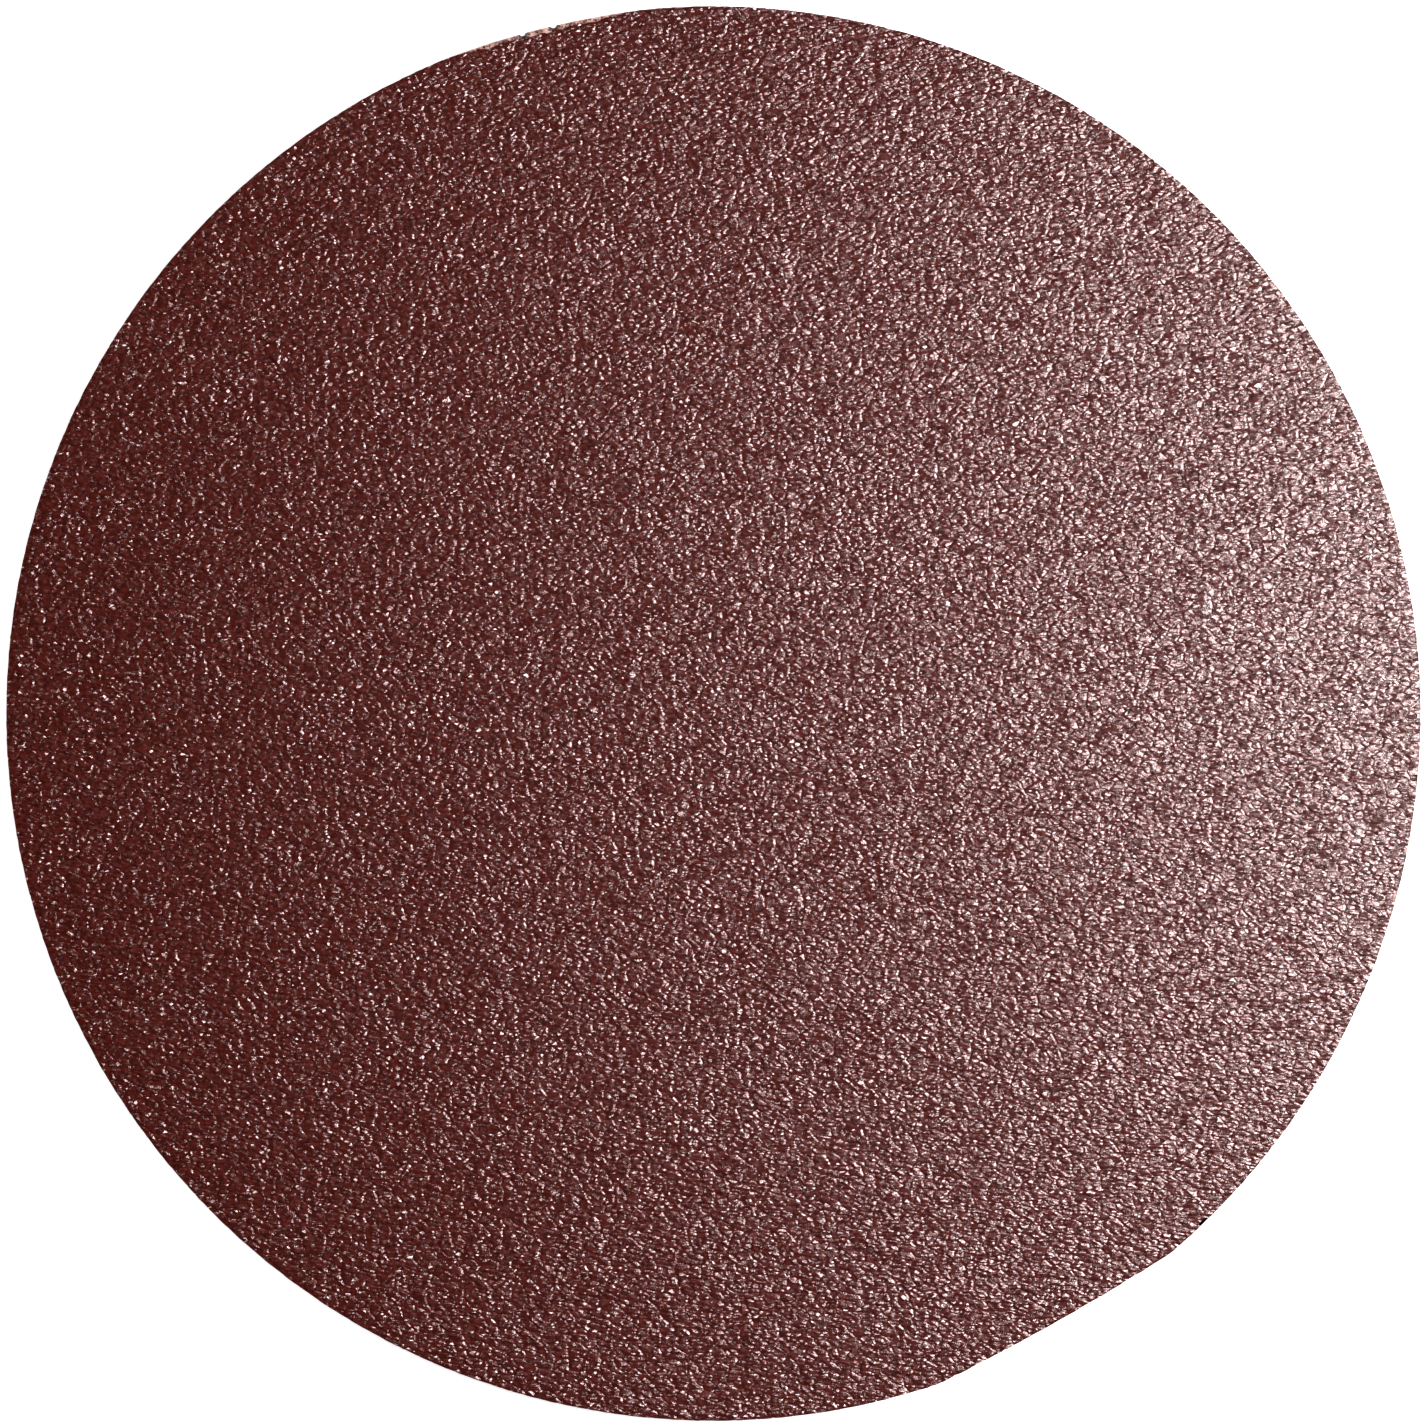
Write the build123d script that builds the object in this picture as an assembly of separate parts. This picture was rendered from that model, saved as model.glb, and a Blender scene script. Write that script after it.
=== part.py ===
from build123d import *
import math
import os

# A fibre sanding disc, lying on its back with the grit up. The origin is at the middle of the back face.
# Sizes are in millimetres. Angles are in degrees, anticlockwise from +X as seen from above.

# Overall
disc_diameter = 125.0
backing_thickness = 0.8
coat_thickness = 0.5

# Die-cut edge: the die draws the back's edge round, and sheds grains along the edge of the coat
backing_edge_round = 0.25
coat_setback = 0.12
coat_edge_bevel = 0.2

# Long flat worn into the rim at the lower right
flat_angle = 299.4
flat_chord = 23.6
flat_depth = 0.8

# Stretch rubbed at the upper left, where a crescent of the coat is gone too and the fibre shows
rub_angle = 104.0
rub_chord = 17.4
rub_depth = 0.11
crescent_width = 0.42

# Two small nicks through the rim inside the rubbed stretch
nick_angles = (103.1, 105.7)
nick_radius = 0.3
nick_depth = 0.2

# Two places on the right where a few grains have chipped off the edge of the coat
chip_angles = (314.0, 345.0)
chip_radius = 0.9
chip_depth = 0.2

disc_radius = disc_diameter / 2
coat_radius = disc_radius - coat_setback


def polar(radius, angle):
    turn = math.radians(angle)
    return Vector(radius * math.cos(turn), radius * math.sin(turn))


def sheet(radius, thickness):
    """A round sheet that lies on the plane Z = 0."""
    return Cylinder(radius, thickness, align=(Align.CENTER, Align.CENTER, Align.MIN))


def worn_stretch(rim_radius, angle, chord, depth, height):
    """What wear has taken off the rim: all outside one shallow arc, which leaves the round rim at both
    ends of the chord and lies this deep inside it at the middle."""
    half_angle = math.degrees(math.asin(chord / 2 / rim_radius))
    start = polar(rim_radius, angle - half_angle)
    middle = polar(rim_radius - depth, angle)
    end = polar(rim_radius, angle + half_angle)
    clear = 1 + depth / rim_radius + (1 - math.cos(math.radians(half_angle)))
    lost = make_face([ThreePointArc(start, middle, end), Polyline(end, end * clear, start * clear, start)])
    return extrude(lost, height, dir=(0, 0, 1))


def bite(rim_radius, angle, bite_radius, depth, height):
    """A small round bite that reaches this far in from the rim."""
    return Pos(*polar(rim_radius - depth + bite_radius, angle)) * sheet(bite_radius, height)


def make_backing():
    solid = sheet(disc_radius, backing_thickness)
    back_rim = solid.edges().group_by(Axis.Z)[0]
    solid = fillet(back_rim, backing_edge_round)
    solid -= worn_stretch(disc_radius, flat_angle, flat_chord, flat_depth, backing_thickness)
    solid -= worn_stretch(disc_radius, rub_angle, rub_chord, rub_depth, backing_thickness)
    for angle in nick_angles:
        solid -= bite(disc_radius - rub_depth, angle, nick_radius, nick_depth, backing_thickness)
    return solid


def make_coat():
    solid = sheet(coat_radius, coat_thickness)
    grit_rim = solid.edges().group_by(Axis.Z)[-1]
    solid = chamfer(grit_rim, coat_edge_bevel)
    crescent_depth = rub_depth + crescent_width - coat_setback
    solid -= worn_stretch(coat_radius, flat_angle, flat_chord, flat_depth, coat_thickness)
    solid -= worn_stretch(coat_radius, rub_angle, rub_chord, crescent_depth, coat_thickness)
    for angle in chip_angles:
        solid -= bite(coat_radius, angle, chip_radius, chip_depth, coat_thickness)
    return Pos(0, 0, backing_thickness) * solid


parts = {
    "fibre_backing": make_backing(),
    "abrasive_coat": make_coat(),
}

os.makedirs("parts", exist_ok=True)
for name, solid in parts.items():
    export_step(solid, f"parts/{name}.step")
    box = solid.bounding_box()
    print(f"{name}: {solid.volume:.1f} mm3, {box.size.X:.2f} x {box.size.Y:.2f} x {box.size.Z:.2f} mm")
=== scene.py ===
import math

import bpy
import numpy as np
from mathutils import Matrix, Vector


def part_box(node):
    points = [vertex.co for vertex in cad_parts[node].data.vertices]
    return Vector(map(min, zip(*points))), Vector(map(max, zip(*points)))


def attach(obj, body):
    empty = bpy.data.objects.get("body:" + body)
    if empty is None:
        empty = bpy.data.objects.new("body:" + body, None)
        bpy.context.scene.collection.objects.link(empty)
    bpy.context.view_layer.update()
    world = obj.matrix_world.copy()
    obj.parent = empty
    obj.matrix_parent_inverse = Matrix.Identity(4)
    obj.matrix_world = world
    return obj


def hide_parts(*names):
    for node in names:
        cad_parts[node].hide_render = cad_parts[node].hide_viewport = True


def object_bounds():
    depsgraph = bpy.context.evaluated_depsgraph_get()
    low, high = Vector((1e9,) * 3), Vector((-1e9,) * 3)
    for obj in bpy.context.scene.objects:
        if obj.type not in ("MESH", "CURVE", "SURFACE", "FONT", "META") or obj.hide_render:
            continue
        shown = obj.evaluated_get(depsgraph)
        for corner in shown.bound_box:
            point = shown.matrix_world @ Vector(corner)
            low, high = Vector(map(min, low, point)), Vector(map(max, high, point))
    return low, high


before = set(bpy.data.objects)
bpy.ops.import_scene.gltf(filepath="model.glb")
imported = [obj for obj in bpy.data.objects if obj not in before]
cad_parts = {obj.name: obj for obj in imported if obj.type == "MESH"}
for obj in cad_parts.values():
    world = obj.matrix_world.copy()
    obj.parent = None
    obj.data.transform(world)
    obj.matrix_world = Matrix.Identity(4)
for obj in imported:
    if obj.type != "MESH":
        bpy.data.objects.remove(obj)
cad_low, cad_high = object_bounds()

# Lengths are in metres, and mm turns millimetres into them
mm = 0.001
rng = np.random.default_rng(7)

# The disc, from the CAD frame
coat_low, coat_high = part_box("abrasive_coat")
disc_width = cad_high.x - cad_low.x
coat_base = coat_low.z
coat_top = coat_high.z

# Camera: the photo looks straight down, with the disc across nearly the whole picture
photo_pixels = 1427
disc_pixels = 1414.4
camera_height = 0.70
sensor_width = 36.0

# Lamps that face the disc: name, size across, size along, watts and place
lamps = (
    ("key", 0.10, 0.22, 2.1, (0.19, 0.03, 0.30)),
    ("fill", 0.14, 0.14, 0.45, (-0.38, 0.22, 0.20)),
)

# Floor: its glow is a little lower close to the disc, so that the disc's shadow shows
floor_reach = 3.0
near_glow = 0.93
glow_rise = (0.15, 0.30)

# World: dim, with a white band that reaches this high above the horizon
dim_level = 0.004
band_edge = (0.15, 0.19)

# Grit surface: triangular facets drawn out along X, with corners shaken sideways and at random heights
facet_pitch = 0.18 * mm
facet_stretch = 2.2
facet_shake = 0.27
grit_bands = 5
mean_relief = 0.36 * mm
least_relief = 0.05 * mm
facet_relief = 0.0205 * mm
grain_relief = 0.008 * mm
grain_pitch = 0.62 * mm

# Fine grooves between the grains, drawn out along X, and specks on the grains
groove_pitch = 0.61 * mm
groove_stretch = 1.8
groove_depth = 0.026 * mm
speck_relief = 0.020 * mm

# How far the resin film over the grit evens its facets out
film_evenness = 3.0

# Facet corners nearer to the grit's rim than this share of their spacing move onto it
rim_catch = 0.55

# Heights of the corners on the rim, as shares of the mean relief
rim_relief = (0.7, 1.0)

# Rim of the grit: a hair short of the fibre, and frayed where the coat has rubbed away
rim_fray = 0.05 * mm
worn_fray = 0.18 * mm
worn_back = 0.06 * mm
fray_step = 0.45 * mm

# Rubbed stretch at the upper left, its two nicks, and the grains that still cling to the bare fibre
rub_angle = math.radians(104.0)
rub_half_angle = math.radians(7.5)
nick_angles = (math.radians(103.1), math.radians(105.7))
# How far the dark colour painted on the fibre round each nick reaches
nick_dark_reach = 0.42 * mm
stray_count = 90
stray_sides = 5
stray_sizes = (0.06 * mm, 0.13 * mm)


def rim_of(node):
    """The rim of a CAD node where coat and backing meet, as two rows: angles, and the radius at each."""
    seam_tolerance = 0.01 * mm
    clear_of_middle = 0.4 * disc_width
    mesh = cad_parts[node].data
    points = np.empty(len(mesh.vertices) * 3)
    mesh.vertices.foreach_get("co", points)
    x, y, z = points.reshape(-1, 3).T
    radius, angle = np.hypot(x, y), np.arctan2(y, x)
    keep = (np.abs(z - coat_base) < seam_tolerance) & (radius > clear_of_middle)
    radius, angle = radius[keep], angle[keep]
    order = np.argsort(angle)
    angle, radius = angle[order], radius[order]
    return np.r_[angle - 2 * np.pi, angle, angle + 2 * np.pi], np.tile(radius, 3)


coat_rim = rim_of("abrasive_coat")
backing_rim = rim_of("fibre_backing")


def ragged(angle):
    """Random values from -1 to 1 round the rim, blended between steps."""
    count = int(np.pi * disc_width / fray_step)
    values = rng.uniform(-1, 1, count)
    return np.interp(angle, np.linspace(-np.pi, np.pi, count + 1), np.r_[values, values[:1]])


def grit_edge(angle):
    """The radius that the grit reaches: nearly the rim, or the frayed edge of a worn place."""
    coat = np.interp(angle, *coat_rim)
    rim = np.interp(angle, *backing_rim)
    setback = np.median(rim - coat)
    worn = np.clip((rim - coat) / setback - 1, 0, 1)
    whole_edge = rim - rim_fray * (1 + ragged(angle)) / 2
    worn_edge = np.minimum(coat - worn_back + worn_fray * (ragged(angle) + ragged(angle)) / 2, rim)
    return whole_edge + (worn_edge - whole_edge) * worn


def build(name, points, faces_by_size):
    """A flat-shaded mesh object from points and, for each face size, an array of corner numbers."""
    mesh = bpy.data.meshes.new(name)
    corners = np.concatenate([f.ravel() for f in faces_by_size])
    sizes = np.concatenate([np.full(len(f), f.shape[1]) for f in faces_by_size])
    starts = np.r_[0, np.cumsum(sizes)[:-1]]
    mesh.vertices.add(len(points))
    mesh.vertices.foreach_set("co", points.astype(np.float32).ravel())
    mesh.loops.add(len(corners))
    mesh.loops.foreach_set("vertex_index", corners.astype(np.int32))
    mesh.polygons.add(len(sizes))
    mesh.polygons.foreach_set("loop_start", starts.astype(np.int32))
    mesh.update(calc_edges=True)
    mesh.validate()
    mesh.polygons.foreach_set("use_smooth", np.zeros(len(sizes), dtype=bool))
    piece = bpy.data.objects.new(name, mesh)
    bpy.context.collection.objects.link(piece)
    return piece


def dress(piece, material):
    """Gives a piece of grit its material, and puts it in the place of the plain coat."""
    piece.data.materials.append(material)
    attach(piece, "root")
    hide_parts("abrasive_coat")


def flat_map(piece, low, high):
    """A bake map that looks straight down on the piece."""
    mesh = piece.data
    layer = mesh.uv_layers.new(name="OFBake")
    corner = np.empty(len(mesh.loops), np.int32)
    mesh.loops.foreach_get("vertex_index", corner)
    points = np.empty(len(mesh.vertices) * 3, np.float32)
    mesh.vertices.foreach_get("co", points)
    spot = points.reshape(-1, 3)[corner, :2]
    layer.data.foreach_set("uv", ((spot - low) / (high - low)).astype(np.float32).ravel())


def soft_noise(x, y, wavelength):
    """Smooth random heights of about unit spread: random values on a grid, blended between its points."""
    low = -disc_width
    cells = int(2 * disc_width / wavelength) + 4
    grid = rng.normal(0, 1, (cells, cells))
    u, v = (x - low) / wavelength, (y - low) / wavelength
    i, j = np.floor(u).astype(int), np.floor(v).astype(int)
    s, t = u - i, v - j
    s, t = s * s * (3 - 2 * s), t * t * (3 - 2 * t)
    i, j = i.clip(0, cells - 2), j.clip(0, cells - 2)
    near = grid[i, j] * (1 - s) + grid[i + 1, j] * s
    far = grid[i, j + 1] * (1 - s) + grid[i + 1, j + 1] * s
    return near * (1 - t) + far * t


def facet_grid():
    """The corners of the grit's facets, row by row, and the triangles between them, inside the rim."""
    reach = disc_width / 2 + facet_pitch * facet_stretch
    row_step = facet_pitch * math.sqrt(3) / 2
    columns = int(2 * reach / (facet_pitch * facet_stretch)) + 2
    rows = int(2 * reach / row_step) + 2
    column, row = np.meshgrid(np.arange(columns), np.arange(rows))
    x = (column + row % 2 / 2) * facet_pitch
    y = -reach + row * row_step
    swing = rng.random((2, *x.shape))
    shake = facet_shake * facet_pitch * np.sqrt(swing[0])
    x = -reach + facet_stretch * (x + shake * np.cos(2 * np.pi * swing[1]))
    y = y + shake * np.sin(2 * np.pi * swing[1])
    number = row * columns + column
    a, b = number[:-1, :-1], number[:-1, 1:]
    c, d = number[1:, :-1], number[1:, 1:]
    even = row[:-1, :-1] % 2 == 0
    first = np.where(even[..., None], np.stack([a, b, c], -1), np.stack([a, b, d], -1))
    second = np.where(even[..., None], np.stack([b, d, c], -1), np.stack([a, d, c], -1))
    x, y = x.ravel(), y.ravel()
    angle, radius = np.arctan2(y, x), np.hypot(x, y)
    edge = grit_edge(angle)
    spacing = facet_pitch * np.hypot(facet_stretch * np.cos(angle), np.sin(angle))
    at_rim = np.abs(radius - edge) < rim_catch * spacing
    radius = np.where(at_rim, edge, radius)
    kept = radius <= edge
    triangles = np.concatenate([first.reshape(-1, 3), second.reshape(-1, 3)])
    triangles = triangles[kept[triangles].all(1)]
    return radius * np.cos(angle), radius * np.sin(angle), at_rim, triangles


def boundary_loops(triangles):
    """The open edges of a triangle sheet, walked into closed loops of corner numbers."""
    edges = np.concatenate([triangles[:, [0, 1]], triangles[:, [1, 2]], triangles[:, [2, 0]]])
    top = int(triangles.max()) + 1
    key = edges[:, 0].astype(np.int64) * top + edges[:, 1]
    back = edges[:, 1].astype(np.int64) * top + edges[:, 0]
    open_edges = edges[~np.isin(key, back)]
    following = {}
    for a, b in open_edges.tolist():
        following.setdefault(a, []).append(b)
    loops = []
    while following:
        start = next(iter(following))
        loop, here = [], start
        while True:
            loop.append(here)
            onward = following[here]
            here = onward.pop()
            if not onward:
                del following[loop[-1]]
            if here == start:
                break
        loops.append(loop)
    return loops


def make_grit_band(name, points, triangles, material):
    """A closed slab of the coat: faceted top, walls at its edges, and a flat face on the backing."""
    used, triangles = np.unique(triangles, return_inverse=True)
    triangles = triangles.reshape(-1, 3)
    top = points[used]
    loops = boundary_loops(triangles)
    feet, walls, bases = [], [], []
    count = len(top)
    for loop in loops:
        loop = np.array(loop)
        foot = top[loop].copy()
        foot[:, 2] = coat_base
        feet.append(foot)
        low = count + np.arange(len(loop))
        after = np.roll(np.arange(len(loop)), -1)
        walls.append(np.stack([loop, low, low[after], loop[after]], -1))
        bases.append(low[::-1][None])
        count += len(loop)
    everything = np.concatenate([top, *feet])
    piece = build(name, everything, [triangles, *walls, *bases])
    flat_map(piece, top[:, :2].min(0), top[:, :2].max(0))
    dress(piece, material)


def make_grit(material):
    """The whole coat, as closed slabs side by side."""
    x, y, at_rim, triangles = facet_grid()
    z = coat_base + mean_relief + facet_relief * rng.laplace(0, 1, len(x))
    z += grain_relief * soft_noise(x / facet_stretch, y, grain_pitch)
    z = np.where(at_rim, coat_base + mean_relief * rng.uniform(*rim_relief, len(x)), z)
    z = np.clip(z, coat_base + least_relief, coat_top)
    points = np.stack([x, y, z], -1)
    order = np.argsort(y[triangles].mean(1), kind="stable")
    for number, part in enumerate(np.array_split(order, grit_bands), 1):
        make_grit_band(f"grit_band_{number}", points, triangles[part], material)


def make_stray_grains(material):
    """Grains left on the bare fibre of the rubbed stretch: small lumps, broad below and pointed above."""
    angle = rub_angle + rub_half_angle * rng.uniform(-1, 1, stray_count)
    size = rng.uniform(*stray_sizes, stray_count)
    low, high = np.interp(angle, *coat_rim), np.interp(angle, *backing_rim) - 1.2 * size
    radius = np.minimum(low + (high - low) * rng.random(stray_count), high)
    turn = 2 * np.pi * (np.arange(stray_sides) / stray_sides + rng.random((stray_count, 1)))
    reach = size[:, None] * rng.uniform(0.7, 1.15, (stray_count, stray_sides))
    x = (radius * np.cos(angle))[:, None] + reach * np.cos(turn)
    y = (radius * np.sin(angle))[:, None] + reach * np.sin(turn)
    foot = np.stack([x, y, np.full_like(x, coat_base)], -1)
    waist = foot + [0, 0, 1] * (size[:, None, None] * rng.uniform(0.3, 1.0, (stray_count, stray_sides, 1)))
    tip = waist.mean(1, keepdims=True) + [0, 0, 1] * (0.5 * size[:, None, None])
    points = np.concatenate([foot, waist, tip], 1)
    first = np.arange(stray_count)[:, None, None] * points.shape[1]
    side = np.arange(stray_sides)
    after = (side + 1) % stray_sides
    walls = np.stack([side, after, after + stray_sides, side + stray_sides], -1)
    slopes = np.stack([side + stray_sides, after + stray_sides, np.full_like(side, 2 * stray_sides)], -1)
    underside = side[None, ::-1]
    faces = [(first + part).reshape(-1, part.shape[-1]) for part in (walls, slopes, underside)]
    dress(build("stray_grains", points.reshape(-1, 3), faces), material)


class Nodes:
    """A material's node tree, with short calls for its nodes and links."""

    def __init__(self, name):
        self.material = bpy.data.materials.new(name)
        self.material.use_nodes = True
        self.tree = self.material.node_tree
        self.shader = self.tree.nodes["Principled BSDF"]

    def add(self, kind, settings=None, **inputs):
        node = self.tree.nodes.new(kind)
        for key, value in (settings or {}).items():
            setattr(node, key, value)
        for key, value in inputs.items():
            self.feed(node, key.replace("_", " "), value)
        return node

    def feed(self, node, key, value):
        if isinstance(value, bpy.types.NodeSocket):
            self.tree.links.new(value, node.inputs[key])
        else:
            node.inputs[key].default_value = value

    def ramp(self, value, *stops):
        """Colours that follow a value, from (position, colour) stops."""
        node = self.add("ShaderNodeValToRGB", Fac=value)
        elements = node.color_ramp.elements
        while len(elements) < len(stops):
            elements.new(0.5)
        for element, (position, colour) in zip(elements, stops):
            element.position = position
            element.color = (*colour, 1)
        return node.outputs["Color"]

    def blend(self, share, first, second):
        """The first colour where the share is 0, and the second where it is 1."""
        node = self.add("ShaderNodeMix", {"data_type": "RGBA"})
        factor, colour_a, colour_b, result = node.inputs[0], node.inputs[6], node.inputs[7], node.outputs[2]
        for socket, value in ((factor, share), (colour_a, first), (colour_b, second)):
            if isinstance(value, bpy.types.NodeSocket):
                self.tree.links.new(value, socket)
            else:
                socket.default_value = value
        return result

    def join(self, operation, *vectors):
        """A vector made from others."""
        node = self.add("ShaderNodeVectorMath", {"operation": operation})
        for socket, vector in zip(node.inputs, vectors):
            self.tree.links.new(vector, socket)
        return node.outputs["Vector"]

    def span(self, value, low, high, first=0.0, last=1.0):
        """A number that runs from first to last as the value goes from low to high."""
        node = self.add("ShaderNodeMapRange", Value=value, From_Min=low, From_Max=high)
        node.inputs["To Min"].default_value = first
        node.inputs["To Max"].default_value = last
        return node.outputs["Result"]


def grit_material():
    """Reddish brown grains with grooves between them, under a resin film that lies more level."""
    m = Nodes("resin_coated_grit")
    place = m.add("ShaderNodeTexCoord").outputs["Object"]
    tone = m.add("ShaderNodeTexNoise", Vector=place, Scale=2400.0, Detail=1.0).outputs["Fac"]
    colour = m.ramp(
        tone,
        (0.30, (0.036, 0.0023, 0.0009)),
        (0.50, (0.056, 0.0037, 0.0013)),
        (0.70, (0.086, 0.0060, 0.0023)),
    )
    specks = m.add("ShaderNodeTexNoise", Vector=place, Scale=9000.0, Detail=1.0).outputs["Fac"]
    drawn_out = m.add("ShaderNodeMapping", Vector=place, Scale=(1 / groove_stretch, 1.0, 1.0))
    flat_cells = {"feature": "DISTANCE_TO_EDGE", "voronoi_dimensions": "2D"}
    cells = m.add(
        "ShaderNodeTexVoronoi", flat_cells, Vector=drawn_out.outputs["Vector"], Scale=1 / groove_pitch
    )
    grooves = m.span(cells.outputs["Distance"], 0.02, 0.17)
    grains = m.add("ShaderNodeBump", Strength=1.0, Distance=groove_depth, Height=grooves).outputs["Normal"]
    specked = m.add("ShaderNodeBump", Strength=1.0, Distance=speck_relief, Height=specks, Normal=grains)
    bump = specked.outputs["Normal"]
    to_world = {"vector_type": "VECTOR", "convert_from": "OBJECT", "convert_to": "WORLD"}
    up = m.add("ShaderNodeVectorTransform", to_world, Vector=(0, 0, film_evenness)).outputs["Vector"]
    film = m.join("NORMALIZE", m.join("ADD", up, bump))
    m.feed(m.shader, "Base Color", colour)
    m.feed(m.shader, "Normal", bump)
    m.feed(m.shader, "Coat Normal", film)
    m.feed(m.shader, "Roughness", m.span(tone, 0.35, 0.65, 0.20, 0.25))
    m.shader.inputs["Specular IOR Level"].default_value = 0.66
    m.shader.inputs["Specular Tint"].default_value = (1.0, 0.76, 0.76, 1)
    m.shader.inputs["Coat Weight"].default_value = 0.27
    m.shader.inputs["Coat Roughness"].default_value = 0.30
    m.shader.inputs["IOR"].default_value = 1.76
    return m.material


def fibre_material():
    """Pressed fibre: brownish red with a streaky felt and fine plies on its cut edge, scuffed paler on the
    grit side, with dark colour painted round the two nicks."""
    # Near-black colour painted round the two nicks
    nick_darkness = (0.03, 0.022, 0.018, 1)
    m = Nodes("vulcanised_fibre")
    place = m.add("ShaderNodeTexCoord").outputs["Object"]
    streaks = m.add("ShaderNodeMapping", Vector=place, Scale=(0.3, 1.0, 8.0)).outputs["Vector"]
    felt = m.add("ShaderNodeTexNoise", Vector=streaks, Scale=1500.0, Detail=5.0, Roughness=0.65)
    felt = felt.outputs["Fac"]
    cloud = m.add("ShaderNodeTexNoise", Vector=place, Scale=70.0, Detail=3.0).outputs["Fac"]
    scuffs = m.add("ShaderNodeTexNoise", Vector=place, Scale=1100.0, Detail=3.0, Roughness=0.6)
    scuffs = scuffs.outputs["Fac"]
    height = m.add("ShaderNodeSeparateXYZ", Vector=place).outputs["Z"]
    whole = m.ramp(
        felt,
        (0.32, (0.20, 0.075, 0.053)),
        (0.50, (0.24, 0.095, 0.068)),
        (0.68, (0.29, 0.122, 0.090)),
    )
    faded = m.ramp(felt, (0.32, (0.24, 0.100, 0.074)), (0.68, (0.32, 0.150, 0.113)))
    body = m.blend(m.span(cloud, 0.40, 0.62), whole, faded)
    bare = m.ramp(
        scuffs,
        (0.36, (0.24, 0.088, 0.068)),
        (0.50, (0.42, 0.205, 0.165)),
        (0.62, (0.62, 0.390, 0.340)),
    )
    colour = m.blend(m.span(height, 0.70 * mm, 0.79 * mm), body, bare)
    # Dark colour painted on the fibre round each nick, fading out a little past its reach
    for angle in nick_angles:
        spot = (disc_width / 2 * math.cos(angle), disc_width / 2 * math.sin(angle), coat_base)
        away = m.add("ShaderNodeVectorMath", {"operation": "DISTANCE"})
        m.tree.links.new(place, away.inputs[0])
        away.inputs[1].default_value = spot
        nick_darkening = m.span(away.outputs["Value"], nick_dark_reach, 1.4 * nick_dark_reach, 1.0, 0.0)
        colour = m.blend(nick_darkening, colour, nick_darkness)
    bump = m.add("ShaderNodeBump", Strength=0.8, Distance=0.015 * mm, Height=felt)
    m.feed(m.shader, "Base Color", colour)
    m.feed(m.shader, "Roughness", m.span(felt, 0.3, 0.7, 0.72, 0.52))
    m.feed(m.shader, "Normal", bump.outputs["Normal"])
    m.shader.inputs["Specular IOR Level"].default_value = 0.4
    return m.material


def background_rays(m):
    """1 for rays that show the background, straight or in a gloss, and 0 for those that light things."""
    path = m.add("ShaderNodeLightPath")
    share = path.outputs["Is Camera Ray"]
    for kind in ("Is Glossy Ray", "Is Transmission Ray"):
        both = m.add("ShaderNodeMath", {"operation": "MAXIMUM"})
        m.tree.links.new(share, both.inputs[0])
        m.tree.links.new(path.outputs[kind], both.inputs[1])
        share = both.outputs[0]
    return share


def times(m, first, second):
    """The product of two node values."""
    node = m.add("ShaderNodeMath", {"operation": "MULTIPLY"})
    m.tree.links.new(first, node.inputs[0])
    m.tree.links.new(second, node.inputs[1])
    return node.outputs[0]


def make_floor():
    """A wide pale floor that glows white for the rays that show the background."""
    corners = np.array([[-1, -1, 0], [1, -1, 0], [1, 1, 0], [-1, 1, 0]])
    floor = build("floor", floor_reach * corners, [np.array([[0, 1, 2, 3]])])
    m = Nodes("pale_floor")
    m.shader.inputs["Base Color"].default_value = (0.9, 0.9, 0.9, 1)
    m.shader.inputs["Roughness"].default_value = 0.9
    m.shader.inputs["Specular IOR Level"].default_value = 0.0
    m.shader.inputs["Emission Color"].default_value = (1, 1, 1, 1)
    place = m.add("ShaderNodeTexCoord").outputs["Object"]
    away = m.add("ShaderNodeVectorMath", {"operation": "LENGTH"})
    m.tree.links.new(place, away.inputs[0])
    glow = m.span(away.outputs["Value"], *glow_rise, near_glow, 1.0)
    m.feed(m.shader, "Emission Strength", times(m, background_rays(m), glow))
    floor.data.materials.append(m.material)


class WorldNodes(Nodes):
    """The same short calls for the world's node tree."""

    def __init__(self, name):
        self.world = bpy.data.worlds.new(name)
        self.world.use_nodes = True
        self.tree = self.world.node_tree


def make_world():
    """Dim all over, with white near the horizon for the rays that show the background."""
    m = WorldNodes("studio")
    bpy.context.scene.world = m.world
    dim = m.tree.nodes["Background"]
    dim.inputs["Color"].default_value = (dim_level, dim_level, dim_level, 1)
    white = m.add("ShaderNodeBackground", Color=(1, 1, 1, 1), Strength=1.0)
    toward = m.add("ShaderNodeTexCoord").outputs["Generated"]
    height = m.add("ShaderNodeSeparateXYZ", Vector=toward).outputs["Z"]
    band = times(m, background_rays(m), m.span(height, *band_edge, 1.0, 0.0))
    both = m.add("ShaderNodeMixShader")
    m.tree.links.new(band, both.inputs[0])
    m.tree.links.new(dim.outputs[0], both.inputs[1])
    m.tree.links.new(white.outputs[0], both.inputs[2])
    m.tree.links.new(both.outputs[0], m.tree.nodes["World Output"].inputs["Surface"])


def make_lights():
    """A key lamp at the right, and a weak low one at the left for the glints seen from other sides."""
    for name, width, length, energy, place in lamps:
        lamp = bpy.data.lights.new(name, "AREA")
        lamp.shape = "RECTANGLE"
        lamp.size, lamp.size_y = width, length
        lamp.energy = energy
        light = bpy.data.objects.new(name, lamp)
        bpy.context.collection.objects.link(light)
        light.location = place
        aim = -light.location
        light.rotation_euler = aim.to_track_quat("-Z", "Y").to_euler()


def make_camera():
    """A camera straight above the disc, with the photo's framing."""
    camera = bpy.data.cameras.new("camera")
    camera.sensor_width = sensor_width
    seen_width = disc_width * photo_pixels / disc_pixels
    camera.lens = sensor_width * (camera_height - coat_base) / seen_width
    place = bpy.data.objects.new("camera", camera)
    bpy.context.collection.objects.link(place)
    place.location = (0, 0, camera_height)
    bpy.context.scene.camera = place


bpy.context.scene.view_settings.view_transform = "Standard"
grit = grit_material()
make_grit(grit)
make_stray_grains(grit)
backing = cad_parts["fibre_backing"]
fibre = fibre_material()
for material_slot in backing.material_slots:
    material_slot.material = fibre
make_floor()
make_world()
make_lights()
make_camera()
